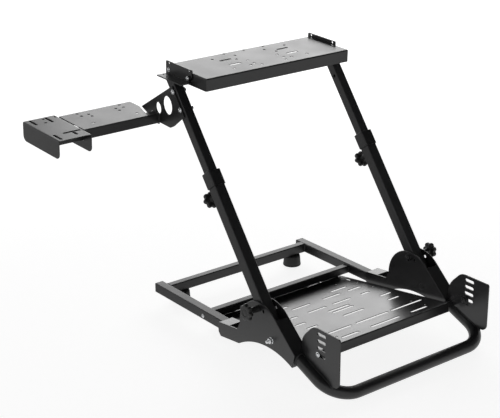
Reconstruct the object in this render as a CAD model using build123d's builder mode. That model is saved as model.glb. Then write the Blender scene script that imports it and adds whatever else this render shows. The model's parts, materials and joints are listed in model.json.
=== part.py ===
from build123d import *
import os
from math import atan2, cos, degrees, radians, sin

os.makedirs("parts", exist_ok=True)

# Base frame: two square rails joined by two crossbars. The rails end at y = 0 and run forward to -y.
base_width = 500
rail_size = 25
rail_wall = 1.5
rail_round = 2.5
rail_top = 55
cap_face = 2
cap_plug = 12
cap_play = 0.2
cap_wall = 2
rear_bar_inset = 28
rear_bar_depth = 20
middle_bar_inset = 210
middle_bar_size = 20
foot_inset = 62
foot_bottom_radius = 24.5
foot_top_radius = 22
foot_edge = 3

# Pedal plate: a sheet with a front lip, hinged behind the middle crossbar.
pedal_length = 397
pedal_tilt = 9.15
pedal_sheet = 1.5
pedal_fold = 3
pedal_side_gap = 9.5
pedal_rear_lap = 5
pedal_rear_drop = 10
pedal_lip = 23
pedal_slot_width = 9
pedal_hole_radius = 3
hinge_back = 15
hinge_pin_radius = 3
hinge_eye_radius = 6
hinge_x = 120
hinge_eye_length = 40
hinge_lug = 4
hinge_side_play = 1
tab_strip = 12
tab_play = 0.5
tab_radius = 12
tab_rise = 16
tab_bolt_radius = 4
tab_heel = 6

# Slot rows as (distance from the front edge, ((middle x, length), ...)).
pedal_rows = (
    (314, ((-71, 60), (130, 55))),
    (283, ((-23, 60), (80, 60), (157, 45))),
    (232, ((-88, 24), (-13, 60), (69, 60), (148, 30))),
    (196, ((27, 71),)),
    (181, ((-110, 34), (28, 70), (172, 38))),
    (141, ((-106, 34), (27, 68), (162, 38))),
    (74, ((-76, 74), (27, 106), (142, 104))),
    (26, ((-86, 54), (26, 94), (138, 54))),
)
# Round holes as (x, distance from the front edge) and (in from the right edge, from the rear edge).
pedal_front_holes = ((-116, 41), (171, 86), (170, 38))
pedal_rear_holes = ((60, 47), (17, 83), (15, 114), (16, 142))
pedal_rear_slot = (13, 43)
pedal_rear_slot_length = 18

# Slotted plates on the hoop legs, set out from the middle of the slots.
bracket_sheet = 3
bracket_inset = 7
bracket_slot_ahead = 45
bracket_slots = 4
bracket_slot_pitch = 17
bracket_slot_length = 29
bracket_slot_width = 8
bracket_rear = 55
bracket_slope_rear = 28
bracket_front = 62
bracket_rise = 12
bracket_rear_drop = 28
bracket_nose = 20
bracket_nose_lift = 8.5
bracket_corner = 6
bracket_crown = 30
bracket_toe = 16
bolt_back = 10.5

# Front hoop: round tube bent to a U that slopes down to the floor.
hoop_radius = 15
hoop_wall = 1.5
hoop_ahead = 57.6
hoop_bend = 66.5
hoop_end_gap = 32
hoop_end_drop = 5

# Gusset: a folded channel that holds a rail, a post foot and a hoop leg.
gusset_sheet = 2.5
gusset_fold = 2
gusset_seat = 0.3
tail_round = 6
lid_length = 38.5
web_angle = 41.5
nose_back = 8.4
nose_drop = 34.1
# Outline points as (back from the pivot, up from the pivot).
tail_toe = (195.5, -64.3)
tail_heel = (203.5, -55.3)
tail_top = (206.5, -29.3)
saddle = (129.5, -20.3)
hump_foot = (120.5, -2.3)
hump_rear = (99.5, 55.7)
hump_top = (44.5, 79.5)
hump_front = (12.5, 72.7)
web_top = (-14.7, 54.7)
arch_top = (26.5, -22.8)
arch_rear = (122.5, -55.8)

# Posts lean back towards the driver and turn on the pivot bolts.
pivot_behind_pedal = 102.4
pivot_rise = 32.8
rail_to_pivot = 164.5
post_angle = 53.05
post_size = 30
post_wall = 1.5
post_round = 3
post_side_gap = 2.5
post_below_pivot = 20
post_above_pivot = 415
pivot_bolt_radius = 5
pivot_head = 3
pivot_head_margin = 4
pivot_nut = 9
pivot_tail = 16
pivot_washer = 2
running_play = 0.05
lock_reach = 80
lock_hole_radius = 4.2
spare_reach = 69
spare_turn = 12
slide_play = 1
inner_wall = 1.5
inner_round = 2.5
inner_start = 220
collar_start = 385
collar_end = 423
collar_proud = 3
collar_play = 0.3
collar_edge = 1.5
height_knob_reach = 366

# Star knobs.
knob_radius = 21
knob_lobes = 7
knob_lobe_radius = 6
knob_thickness = 12
knob_edge = 2
knob_stem_radius = 8
lock_stem = 28.5
height_stem = 22

# Wheel tray, an upside-down sheet tray between two angle brackets.
deck_tilt = 2.1
tray_front_z = 640
tray_depth = 154
tray_flange = 31
tray_sheet = 1.5
tray_corner = 4
tray_fold = 3
tray_hole_radius = 3.8
tray_post_back = 106
# Hole pairs and slots as (x, distance from the rear edge).
tray_pairs = ((114, 30), (62, 8), (46, 33), (63, 61), (46, 85), (64, 120), (47, 111), (38, 131), (114, 120))
tray_middle_hole = 8
tray_slots = ((90, 51), (90, 91))
tray_slot_length = 36
ear_play = 0.5
ear_sheet = 3
ear_post_gap = 3
ear_front = 53.5
ear_rear_lap = 6
ear_rise = 8.5
ear_round = 3
ear_chamfer = 14
ear_foot_drop = 21.5
ear_foot_front = 55
ear_foot_margin = 3
ear_bolt_front = 65
ear_bolt_rear_inset = 6
ear_bolt_drop = 13
ear_hole_pitch = 16.7
ear_hole_radius = 3.4
tray_pin_radius = 3
tray_pin_tail = 5
tray_pin_head = 5.5
tray_pin_cap = 4

# Shifter bracket on the left inner post: corners as (below the post top, ahead of its axis).
mount_sheet = 3
mount_front_top = (17, 5)
mount_tip = (1, -150)
mount_elbow = (47, -124)
mount_heel = (96, -67)
mount_low = (99, -50)
mount_front_low = (98, 5)
mount_corner = 12
mount_oval = (46.5, -42)
mount_oval_long = 23
mount_oval_short = 18.5
mount_oval_turn = 24
mount_eye = (35, -82.5)
mount_eye_long = 14.4
mount_eye_short = 11.2
mount_hole_high = 30
mount_hole_low = 78
mount_hole_radius = 4.2

# Shifter arm, shelf and end plate beyond the bracket.
arm_size = 25
arm_wall = 1.5
arm_inset = 1
arm_notch_play = 0.5
shelf_back = 41.8
shelf_drop = 90.3
shelf_sheet = 1.5
shelf_gap = 10
shelf_width = 203
shelf_depth = 115
shelf_cut_width = 24
shelf_cut_depth = 72
shelf_hole_shift = 4.5
shelf_flange = 30
# Hole pairs as (half spacing, distance from the rear edge).
shelf_pairs = ((61, 8), (60, 28), (39, 26), (39, 42), (62, 85))
end_gap = 2
end_width = 88
end_front = 37
end_rear = 130
end_flange = 46
end_corner = 14
end_fold = 3
# Cut-outs of the end plate as (x from its middle, back from the shelf's front edge).
end_long_slots = ((-28, 109), (14, 107), (-32, -11))
end_long_slot = 38
end_cross_slot = (15, 5)
end_cross_slot_length = 48
end_short_slot = (16, -6)
end_short_slot_length = 28
end_holes = ((-3, 93), (37, 118), (5, 119))

# Places worked out from the sizes above.
rail_low = rail_top - rail_size
rail_x = base_width / 2 - rail_size / 2
bar_length = base_width - 2 * rail_size
foot_x = base_width / 2 - foot_inset
rear_bar_y = -rear_bar_inset
middle_bar_y = -middle_bar_inset
bar_back_y = middle_bar_y + middle_bar_size / 2

pedal_cos = cos(radians(pedal_tilt))
pedal_sin = sin(radians(pedal_tilt))
pedal_rear_y = bar_back_y - pedal_rear_lap
pedal_rear_z = rail_low - pedal_rear_drop
pedal_front_y = pedal_rear_y - pedal_length * pedal_cos
pedal_front_z = pedal_rear_z + pedal_length * pedal_sin
hinge_y = pedal_rear_y + hinge_back * pedal_cos - pedal_sheet / 2 * pedal_sin
hinge_z = pedal_rear_z - hinge_back * pedal_sin - pedal_sheet / 2 * pedal_cos

pivot_y = pedal_front_y + pivot_behind_pedal
pivot_z = rail_top + pivot_rise
rail_front_y = pivot_y + rail_to_pivot
post_cos = cos(radians(post_angle))
post_sin = sin(radians(post_angle))
gusset_inner_x = base_width / 2 - rail_size - gusset_sheet
post_x = gusset_inner_x + gusset_sheet + post_side_gap + post_size / 2
gusset_outer_x = post_x + post_size / 2 + post_side_gap
gusset_face_x = gusset_outer_x + gusset_sheet
knob_reach_x = gusset_face_x + lock_stem + knob_thickness
inner_size = post_size - 2 * post_wall - 2 * slide_play
half_inner = inner_size / 2

slot_y = pedal_front_y - bracket_slot_ahead
slot_low_z = pedal_front_z + tab_rise
slot_top_z = slot_low_z + (bracket_slots - 1) * bracket_slot_pitch
bolt_y = slot_y + bolt_back
bracket_x = post_x - bracket_inset
pedal_half_width = gusset_inner_x - pedal_side_gap
tab_outer_x = bracket_x - tab_play

hoop_front_y = slot_y - hoop_ahead
hoop_end_y = pivot_y - hoop_end_gap
hoop_end_z = pivot_z - hoop_end_drop
hoop_run = hoop_end_y - hoop_front_y
hoop_slope = atan2(hoop_end_z - hoop_radius, hoop_run)
hoop_leg = hoop_run / cos(hoop_slope)

deck_cos = cos(radians(deck_tilt))
deck_sin = sin(radians(deck_tilt))
foot_low = ear_foot_drop + ear_sheet
post_top_z = tray_front_z + tray_post_back * deck_sin - foot_low * deck_cos
post_top = (post_top_z - pivot_z) / post_sin
post_top_y = pivot_y + post_top * post_cos
tray_front_y = post_top_y - tray_post_back * deck_cos - foot_low * deck_sin
ear_x = post_x - half_inner - ear_post_gap - ear_sheet
tray_width = 2 * (ear_x - ear_play)
ear_rear = tray_depth + ear_rear_lap
ear_bolt_rear = tray_depth - ear_bolt_rear_inset
foot_reach_x = post_x + half_inner + ear_foot_margin

mount_x = -post_x - half_inner - mount_sheet
shelf_front_y = post_top_y + shelf_back
shelf_front_z = post_top_z - shelf_drop
shelf_right = mount_x - shelf_gap
shelf_left = shelf_right - shelf_width
end_right = shelf_left - end_gap
end_left = end_right - end_width
end_middle_x = (end_left + end_right) / 2

# The origin is on the floor under the middle of the whole box.
end_rear_y = shelf_front_y + end_rear * deck_cos
stand_x = -(end_left + knob_reach_x) / 2
stand_y = -(hoop_front_y - hoop_radius + end_rear_y) / 2
mid_plane = Plane.YZ.offset(stand_x)


def side_plane(x):
    return Plane(origin=(stand_x + x, stand_y, 0), x_dir=(0, 1, 0), z_dir=(1, 0, 0))


def level_plane(z):
    return Plane(origin=(stand_x, stand_y, z), x_dir=(1, 0, 0), z_dir=(0, 0, 1))


def front_plane(y):
    return Plane(origin=(stand_x, stand_y + y, 0), x_dir=(1, 0, 0), z_dir=(0, -1, 0))


def post_point(along):
    return (pivot_y + along * post_cos, pivot_z + along * post_sin)


# Local x runs up the post, local y out of its front face.
def post_side(x):
    return Plane(
        origin=(stand_x + x, stand_y + pivot_y, pivot_z),
        x_dir=(0, post_cos, post_sin),
        z_dir=(1, 0, 0),
    )


# Square to the post, local y towards its rear face.
def post_section(x, along):
    y, z = post_point(along)
    return Plane(origin=(stand_x + x, stand_y + y, z), x_dir=(1, 0, 0), z_dir=(0, post_cos, post_sin))


# Local x runs back along the sheet, local y up out of it.
def deck_side(x, y, z):
    return Plane(origin=(stand_x + x, stand_y + y, z), x_dir=(0, deck_cos, deck_sin), z_dir=(1, 0, 0))


def deck_top(y, z):
    return Plane(origin=(stand_x, stand_y + y, z), x_dir=(1, 0, 0), z_dir=(0, -deck_sin, deck_cos))


# Square to the sheet at its front edge, local y up out of it.
def deck_front(y, z):
    return Plane(origin=(stand_x, stand_y + y, z), x_dir=(1, 0, 0), z_dir=(0, -deck_cos, -deck_sin))


# Local x runs forward up the pedal plate, local y out of its top.
def pedal_side(x):
    return Plane(
        origin=(stand_x + x, stand_y + pedal_rear_y, pedal_rear_z),
        x_dir=(0, -pedal_cos, pedal_sin),
        z_dir=(-1, 0, 0),
    )


# A point given from the pivot, in the side view.
def from_pivot(place):
    return (pivot_y + place[0], pivot_z + place[1])


# A point given from the top of a post, in that post's side view.
def from_post_top(place):
    return (post_top - place[0], place[1])


def make_left(right):
    with BuildPart() as left:
        mirror(right.part, about=mid_plane)
    return left


def make_tube(plane, width, depth, wall, round_off, length):
    with BuildPart() as tube:
        with BuildSketch(plane):
            RectangleRounded(width, depth, round_off)
            RectangleRounded(width - 2 * wall, depth - 2 * wall, round_off - wall, mode=Mode.SUBTRACT)
        extrude(amount=length)
    return tube


# A star knob on a plane: stem first, then the lobed head.
def make_knob(plane, stem):
    with BuildPart() as knob:
        with BuildSketch(plane):
            Circle(knob_stem_radius)
        extrude(amount=stem)
        with BuildSketch(plane.offset(stem)):
            Circle(knob_radius - knob_lobe_radius / 2)
            with PolarLocations(knob_radius - knob_lobe_radius, knob_lobes):
                Circle(knob_lobe_radius)
        extrude(amount=knob_thickness)
        top = knob.faces().sort_by(Axis(plane.origin, plane.z_dir))[-1]
        chamfer(top.edges(), length=knob_edge)
    return knob


# Rails with their end caps.
right_rail = make_tube(
    front_plane(-cap_face).shift_origin((stand_x + rail_x, stand_y - cap_face, rail_top - rail_size / 2)),
    rail_size,
    rail_size,
    rail_wall,
    rail_round,
    -rail_front_y - cap_face,
)
left_rail = make_left(right_rail)

plug_size = rail_size - 2 * rail_wall - 2 * cap_play
with BuildPart() as right_end_cap:
    with BuildSketch(front_plane(0)):
        with Locations((rail_x, rail_top - rail_size / 2)):
            RectangleRounded(rail_size, rail_size, rail_round)
    extrude(amount=cap_face)
    with BuildSketch(front_plane(-cap_face)):
        with Locations((rail_x, rail_top - rail_size / 2)):
            RectangleRounded(plug_size, plug_size, rail_round - rail_wall)
            Rectangle(plug_size - 2 * cap_wall, plug_size - 2 * cap_wall, mode=Mode.SUBTRACT)
    extrude(amount=cap_plug)
left_end_cap = make_left(right_end_cap)

# Crossbars run between the inner faces of the rails.
bar_plane = side_plane(-bar_length / 2)
rear_crossbar = make_tube(
    bar_plane.shift_origin((stand_x - bar_length / 2, stand_y + rear_bar_y, rail_top - rail_size / 2)),
    rear_bar_depth,
    rail_size,
    rail_wall,
    rail_round,
    bar_length,
)
middle_bar_z = rail_low + middle_bar_size / 2
middle_tube = make_tube(
    bar_plane.shift_origin((stand_x - bar_length / 2, stand_y + middle_bar_y, middle_bar_z)),
    middle_bar_size,
    middle_bar_size,
    rail_wall,
    rail_round,
    bar_length,
)

# Lugs and pins behind the middle crossbar carry the rear edge of the pedal plate.
lug_offset = hinge_eye_length / 2 + hinge_side_play
with BuildPart() as middle_crossbar:
    add(middle_tube.part)
    for side in (-1, 1):
        for x in (side * hinge_x - lug_offset - hinge_lug, side * hinge_x + lug_offset):
            with BuildSketch(side_plane(x)):
                with BuildLine():
                    Polyline(
                        (bar_back_y, rail_low + middle_bar_size - rail_round),
                        (hinge_y + hinge_eye_radius, hinge_z),
                        (hinge_y, hinge_z - hinge_eye_radius),
                        (hinge_y - hinge_eye_radius, hinge_z),
                        (bar_back_y, rail_low + rail_round),
                        close=True,
                    )
                make_face()
            extrude(amount=hinge_lug)
        with BuildSketch(side_plane(side * hinge_x - lug_offset - hinge_lug)):
            with Locations((hinge_y, hinge_z)):
                Circle(hinge_pin_radius)
        extrude(amount=2 * (lug_offset + hinge_lug))

# Rubber feet under the rear crossbar.
with BuildPart() as right_foot:
    with BuildSketch(level_plane(0)):
        with Locations((foot_x, rear_bar_y)):
            Circle(foot_bottom_radius)
    with BuildSketch(level_plane(rail_low)):
        with Locations((foot_x, rear_bar_y)):
            Circle(foot_top_radius)
    loft()
    fillet(right_foot.edges().group_by(Axis.Z)[-1], radius=foot_edge)
left_foot = make_left(right_foot)

# Front hoop.
hoop_cos = cos(hoop_slope)
hoop_sin = sin(hoop_slope)
hoop_plane = Plane(
    origin=(stand_x, stand_y + hoop_front_y, hoop_radius),
    x_dir=(1, 0, 0),
    z_dir=(0, -hoop_sin, hoop_cos),
)


def make_hoop(bore):
    with BuildPart() as hoop:
        with BuildLine(hoop_plane) as path:
            FilletPolyline(
                (-post_x, hoop_leg), (-post_x, 0), (post_x, 0), (post_x, hoop_leg), radius=hoop_bend
            )
        with BuildSketch(Plane(origin=path.line @ 0, z_dir=path.line % 0)):
            Circle(hoop_radius)
            if bore > 0:
                Circle(bore, mode=Mode.SUBTRACT)
        sweep()
    return hoop


front_hoop = make_hoop(hoop_radius - hoop_wall)
hoop_outside = make_hoop(0)


# How far a point of the side view lies above the line of the hoop legs.
def above_hoop(y, z):
    return (z - hoop_radius) * hoop_cos - (y - hoop_front_y) * hoop_sin


# The height of a hoop leg's axis.
def leg_z(y):
    return hoop_radius + (y - hoop_front_y) * hoop_sin / hoop_cos


# The front web of a gusset runs down until its inner face seats on the hoop leg.
web_cos = cos(radians(web_angle))
web_sin = sin(radians(web_angle))
web_y, web_z = from_pivot(web_top)
web_inner_y = web_y + gusset_sheet * web_sin
web_inner_z = web_z - gusset_sheet * web_cos
web_fall = web_sin * hoop_cos - web_cos * hoop_sin
web_run = (above_hoop(web_inner_y, web_inner_z) - hoop_radius - gusset_seat) / web_fall
web_end = (web_y - web_run * web_cos, web_z - web_run * web_sin)
web_inner_end = (web_inner_y - web_run * web_cos, web_inner_z - web_run * web_sin)
nose = (web_end[0] + nose_back, web_end[1] - nose_drop)

# Local x runs forward along the top edge of the gusset's tail, local y up out of it.
tail_y, tail_z = from_pivot(tail_top)
tail_slope = atan2(saddle[1] - tail_top[1], tail_top[0] - saddle[0])
lid_plane = Plane(
    origin=(stand_x + gusset_face_x, stand_y + tail_y, tail_z),
    x_dir=(0, -cos(tail_slope), sin(tail_slope)),
    z_dir=(-1, 0, 0),
)

# Gussets: two cheeks, the sloping front web and a lid over the tail.
lock_y, lock_z = post_point(lock_reach)
spare_angle = radians(post_angle + spare_turn)
with BuildPart() as right_gusset:
    for x in (gusset_inner_x, gusset_outer_x):
        with BuildSketch(side_plane(x)):
            with BuildLine():
                Polyline(
                    from_pivot(arch_rear),
                    from_pivot(tail_toe),
                    from_pivot(tail_heel),
                    from_pivot(tail_top),
                    from_pivot(saddle),
                    from_pivot(hump_foot),
                )
                ThreePointArc(from_pivot(hump_foot), from_pivot(hump_rear), from_pivot(hump_top))
                ThreePointArc(from_pivot(hump_top), from_pivot(hump_front), from_pivot(web_top))
                Polyline(from_pivot(web_top), web_end, nose)
                ThreePointArc(nose, from_pivot(arch_top), from_pivot(arch_rear))
            make_face()
            fillet(vertices().sort_by_distance(from_pivot(tail_top))[0], radius=tail_round)
            with Locations((pivot_y, pivot_z)):
                Circle(pivot_bolt_radius, mode=Mode.SUBTRACT)
            with Locations(
                (lock_y, lock_z),
                from_pivot((spare_reach * cos(spare_angle), spare_reach * sin(spare_angle))),
            ):
                Circle(lock_hole_radius, mode=Mode.SUBTRACT)
        extrude(amount=gusset_sheet)
    with BuildSketch(side_plane(gusset_inner_x)):
        with BuildLine():
            Polyline(
                from_pivot(web_top), web_end, web_inner_end, (web_inner_y, web_inner_z), close=True
            )
        make_face()
    extrude(amount=gusset_face_x - gusset_inner_x)
    with BuildSketch(lid_plane):
        with Locations((tail_round + lid_length / 2, -gusset_sheet / 2)):
            Rectangle(lid_length, gusset_sheet)
    extrude(amount=gusset_face_x - gusset_inner_x)
    web_axis = Axis((0, stand_y + web_y, web_z), (0, web_cos, web_sin))
    front_edges = right_gusset.edges().filter_by(web_axis, tolerance=0.01).sort_by(Axis.X)
    fillet([front_edges[0], front_edges[-1]], radius=gusset_fold)
left_gusset = make_left(right_gusset)

# Pivot bolts through gusset and post foot, with a washer each side of the post.
with BuildPart() as right_pivot_bolt:
    with BuildSketch(side_plane(gusset_inner_x - pivot_head)):
        with Locations((pivot_y, pivot_z)):
            Circle(pivot_bolt_radius + pivot_head_margin)
    extrude(amount=pivot_head)
    with BuildSketch(side_plane(gusset_inner_x)):
        with Locations((pivot_y, pivot_z)):
            Circle(pivot_bolt_radius)
    extrude(amount=gusset_face_x + pivot_tail - gusset_inner_x)
    for x in (gusset_inner_x + gusset_sheet, gusset_outer_x - pivot_washer):
        with BuildSketch(side_plane(x)):
            with Locations((pivot_y, pivot_z)):
                Circle(2 * pivot_bolt_radius)
        extrude(amount=pivot_washer)
    with BuildSketch(side_plane(gusset_face_x)):
        with Locations((pivot_y, pivot_z)):
            RegularPolygon(pivot_bolt_radius + pivot_head_margin, 6)
    extrude(amount=pivot_nut)
left_pivot_bolt = make_left(right_pivot_bolt)

# Lock knobs on the outer cheeks; their screws stop at the post.
with BuildPart() as right_lock_knob:
    lock_place = (stand_x + gusset_face_x, stand_y + lock_y, lock_z)
    add(make_knob(Plane(origin=lock_place, x_dir=(0, 1, 0), z_dir=(1, 0, 0)), lock_stem).part)
    with BuildSketch(side_plane(gusset_face_x)):
        with Locations((lock_y, lock_z)):
            Circle(lock_hole_radius)
    extrude(amount=-gusset_sheet)
left_lock_knob = make_left(right_lock_knob)

# Outer posts turn on the pivot bolts.
with BuildPart() as right_outer_post:
    add(
        make_tube(
            post_section(post_x, -post_below_pivot),
            post_size,
            post_size,
            post_wall,
            post_round,
            post_below_pivot + post_above_pivot,
        ).part
    )
    with BuildSketch(post_side(post_x - post_size)):
        Circle(pivot_bolt_radius + running_play)
        with Locations((lock_reach, 0)):
            Circle(lock_hole_radius)
    extrude(amount=2 * post_size, mode=Mode.SUBTRACT)
left_outer_post = make_left(right_outer_post)

# Plastic collars close the gap between the two tubes.
collar_size = post_size + 2 * collar_proud
collar_bore = inner_size + 2 * collar_play
with BuildPart() as right_collar:
    with BuildSketch(post_section(post_x, collar_start)):
        RectangleRounded(collar_size, collar_size, post_round + collar_proud)
    extrude(amount=collar_end - collar_start)
    fillet(
        right_collar.edges().sort_by(Axis((0, 0, 0), (0, post_cos, post_sin)))[-8:], radius=collar_edge
    )
    with BuildSketch(post_section(post_x, collar_start)):
        RectangleRounded(post_size, post_size, post_round)
    extrude(amount=post_above_pivot - collar_start, mode=Mode.SUBTRACT)
    with BuildSketch(post_section(post_x, collar_start)):
        RectangleRounded(collar_bore, collar_bore, inner_round + collar_play)
    extrude(amount=collar_end - collar_start, mode=Mode.SUBTRACT)
left_collar = make_left(right_collar)

# Height knobs press on the inner tube from the rear face.
height_y, height_z = post_point(height_knob_reach)
right_height_knob = make_knob(
    Plane(
        origin=(
            stand_x + post_x,
            stand_y + height_y + post_size / 2 * post_sin,
            height_z - post_size / 2 * post_cos,
        ),
        x_dir=(1, 0, 0),
        z_dir=(0, post_sin, -post_cos),
    ),
    height_stem,
)
left_height_knob = make_left(right_height_knob)

# Inner posts end under the feet of the tray brackets and are drilled for the shifter bracket.
tray_plane = deck_top(tray_front_y, tray_front_z)
with BuildPart() as right_inner_post:
    add(
        make_tube(
            post_section(post_x, inner_start),
            inner_size,
            inner_size,
            inner_wall,
            inner_round,
            post_top + 2 * inner_size - inner_start,
        ).part
    )
    split(bisect_by=tray_plane.offset(-foot_low), keep=Keep.BOTTOM)
    with BuildSketch(post_side(post_x - inner_size)):
        with Locations((post_top - mount_hole_high, 0), (post_top - mount_hole_low, 0)):
            Circle(mount_hole_radius)
    extrude(amount=2 * inner_size, mode=Mode.SUBTRACT)
left_inner_post = make_left(right_inner_post)


# Wheel tray: one block with rounded folds, less a smaller one.
def make_tray_block(drop, inset, fold):
    with BuildPart() as block:
        with BuildSketch(tray_plane.offset(-drop)):
            with Locations((0, tray_depth / 2)):
                RectangleRounded(tray_width - 2 * inset, tray_depth - 2 * inset, tray_corner - inset)
        extrude(amount=-tray_flange)
        fillet(block.faces().sort_by(Axis(tray_plane.origin, tray_plane.z_dir))[-1].edges(), radius=fold)
    return block


tray_hollow = make_tray_block(tray_sheet, tray_sheet, tray_fold - tray_sheet)
with BuildPart() as wheel_tray:
    add(make_tray_block(0, 0, tray_fold).part)
    add(tray_hollow.part, mode=Mode.SUBTRACT)
    with BuildSketch(tray_plane):
        with Locations((0, tray_depth - tray_middle_hole)):
            Circle(tray_hole_radius)
        for side in (-1, 1):
            for x, back in tray_pairs:
                with Locations((side * x, tray_depth - back)):
                    Circle(tray_hole_radius)
            for x, back in tray_slots:
                with Locations((side * x, tray_depth - back)):
                    SlotOverall(tray_slot_length, 2 * tray_hole_radius)
    extrude(amount=-2 * tray_sheet, mode=Mode.SUBTRACT)
    with BuildSketch(deck_side(-tray_width, tray_front_y, tray_front_z)):
        with Locations((ear_bolt_front, -ear_bolt_drop)):
            Circle(tray_pin_radius + running_play)
        with Locations((ear_bolt_rear, -ear_bolt_drop)):
            Circle(ear_hole_radius)
    extrude(amount=2 * tray_width, mode=Mode.SUBTRACT)

# Angle brackets on the post tops hold the tray ends; the tray tips on their front pins.
pin_start_x = ear_x - ear_play - tray_sheet - tray_pin_tail
with BuildPart() as right_tray_bracket:
    with BuildSketch(deck_side(ear_x, tray_front_y, tray_front_z)):
        with BuildLine():
            Polyline(
                (ear_front, ear_rise),
                (ear_rear, ear_rise),
                (ear_rear, -foot_low),
                (ear_front + ear_chamfer, -foot_low),
                (ear_front, -foot_low + ear_chamfer),
                close=True,
            )
        make_face()
        fillet(vertices().group_by(Axis.Y)[-1], radius=ear_round)
        with Locations(
            (ear_bolt_front, ear_hole_pitch - ear_bolt_drop),
            (ear_bolt_rear, ear_hole_pitch - ear_bolt_drop),
            (ear_bolt_rear, -ear_bolt_drop),
        ):
            Circle(ear_hole_radius, mode=Mode.SUBTRACT)
    extrude(amount=ear_sheet)
    with BuildSketch(tray_plane.offset(-foot_low)):
        with Locations(((ear_x + foot_reach_x) / 2, (ear_foot_front + tray_depth) / 2)):
            Rectangle(foot_reach_x - ear_x, tray_depth - ear_foot_front)
        with Locations((post_x, ear_bolt_rear)):
            Circle(ear_hole_radius, mode=Mode.SUBTRACT)
    extrude(amount=ear_sheet)
    with BuildSketch(deck_side(pin_start_x, tray_front_y, tray_front_z)):
        with Locations((ear_bolt_front, -ear_bolt_drop)):
            Circle(tray_pin_radius)
    extrude(amount=ear_x + ear_sheet - pin_start_x)
    with BuildSketch(deck_side(ear_x + ear_sheet, tray_front_y, tray_front_z)):
        with Locations((ear_bolt_front, -ear_bolt_drop)):
            Circle(tray_pin_head)
    extrude(amount=tray_pin_cap)
left_tray_bracket = make_left(right_tray_bracket)

# Shifter bracket: a lightened plate on the outer face of the left inner post.
with BuildPart() as shifter_bracket:
    with BuildSketch(post_side(mount_x)):
        with BuildLine():
            Polyline(
                from_post_top(mount_front_top),
                from_post_top(mount_tip),
                from_post_top(mount_elbow),
                from_post_top(mount_heel),
                from_post_top(mount_low),
                from_post_top(mount_front_low),
                close=True,
            )
        make_face()
        fillet(vertices().sort_by_distance(from_post_top(mount_heel))[0], radius=mount_corner)
        with Locations(from_post_top(mount_oval)):
            Ellipse(mount_oval_long, mount_oval_short, rotation=mount_oval_turn, mode=Mode.SUBTRACT)
        with Locations(from_post_top(mount_eye)):
            Ellipse(mount_eye_long, mount_eye_short, rotation=mount_oval_turn, mode=Mode.SUBTRACT)
        with Locations((post_top - mount_hole_high, 0), (post_top - mount_hole_low, 0)):
            Circle(mount_hole_radius, mode=Mode.SUBTRACT)
    extrude(amount=mount_sheet)

# The arm carries the two shifter plates and ends just inside the outer flange of the end plate.
shelf_plane = deck_top(shelf_front_y, shelf_front_z)
arm_left = end_left + end_fold
arm_plane = deck_side(arm_left, shelf_front_y, shelf_front_z)
shifter_arm = make_tube(
    arm_plane.shift_origin(
        arm_plane.from_local_coords((arm_inset + arm_size / 2, -shelf_sheet - arm_size / 2, 0))
    ),
    arm_size,
    arm_size,
    arm_wall,
    rail_round,
    mount_x - arm_left,
)

shelf_hole_x = (shelf_left + shelf_right) / 2 + shelf_hole_shift
with BuildPart() as shifter_plate:
    with BuildSketch(shelf_plane):
        with BuildLine():
            Polyline(
                (shelf_left, 0),
                (shelf_right - shelf_cut_width, 0),
                (shelf_right, shelf_cut_depth),
                (shelf_right, shelf_depth),
                (shelf_left, shelf_depth),
                close=True,
            )
        make_face()
        for x, back in shelf_pairs:
            with Locations((shelf_hole_x - x, shelf_depth - back), (shelf_hole_x + x, shelf_depth - back)):
                Circle(tray_hole_radius, mode=Mode.SUBTRACT)
    extrude(amount=-shelf_sheet)
    with BuildSketch(shelf_plane):
        with Locations(((shelf_left + shelf_right) / 2, shelf_depth - shelf_sheet / 2)):
            Rectangle(shelf_width, shelf_sheet)
    extrude(amount=-shelf_flange)

# End plate: a folded channel whose flanges have rounded lower corners, closed at the rear and notched
# for the arm.
end_plane = deck_front(shelf_front_y, shelf_front_z).offset(end_front)
end_length = end_front + end_rear
end_inside = end_width - 2 * shelf_sheet
notch_depth = arm_size + arm_notch_play
with BuildPart() as end_hollow:
    with BuildSketch(end_plane):
        with Locations((end_middle_x, -shelf_sheet - end_flange / 2)):
            Rectangle(end_inside, end_flange)
        fillet(vertices().group_by(Axis.Y)[-1], radius=end_fold - shelf_sheet)
    extrude(amount=shelf_sheet - end_length)
    with BuildSketch(end_plane):
        with Locations((end_middle_x, -end_flange)):
            Rectangle(end_inside, 2 * end_corner)
    extrude(amount=-end_length)

with BuildPart() as shifter_end_plate:
    with BuildSketch(end_plane):
        with Locations((end_middle_x, -end_flange / 2)):
            Rectangle(end_width, end_flange)
        fillet(vertices().group_by(Axis.Y)[-1], radius=end_fold)
    extrude(amount=-end_length)
    add(end_hollow.part, mode=Mode.SUBTRACT)
    with BuildSketch(deck_side(end_left, shelf_front_y, shelf_front_z)):
        with Locations(((end_rear - end_front) / 2, -end_flange / 2)):
            Rectangle(end_length, end_flange)
        fillet(vertices().group_by(Axis.Y)[0], radius=end_corner)
    extrude(amount=end_width, mode=Mode.INTERSECT)
    with BuildSketch(deck_side(end_right - end_fold, shelf_front_y, shelf_front_z)):
        with Locations((arm_inset + arm_size / 2, -shelf_sheet - notch_depth / 2)):
            Rectangle(arm_size + 2 * arm_notch_play, notch_depth)
    extrude(amount=end_fold, mode=Mode.SUBTRACT)
    with BuildSketch(shelf_plane):
        for x, back in end_long_slots:
            with Locations((end_middle_x + x, back)):
                SlotOverall(end_long_slot, 2 * tray_hole_radius, rotation=90)
        with Locations((end_middle_x + end_cross_slot[0], end_cross_slot[1])):
            SlotOverall(end_cross_slot_length, 2 * tray_hole_radius)
        with Locations((end_middle_x + end_short_slot[0], end_short_slot[1])):
            SlotOverall(end_short_slot_length, 2 * tray_hole_radius, rotation=90)
        for x, back in end_holes:
            with Locations((end_middle_x + x, back)):
                Circle(tray_hole_radius)
    extrude(amount=-2 * shelf_sheet, mode=Mode.SUBTRACT)

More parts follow.
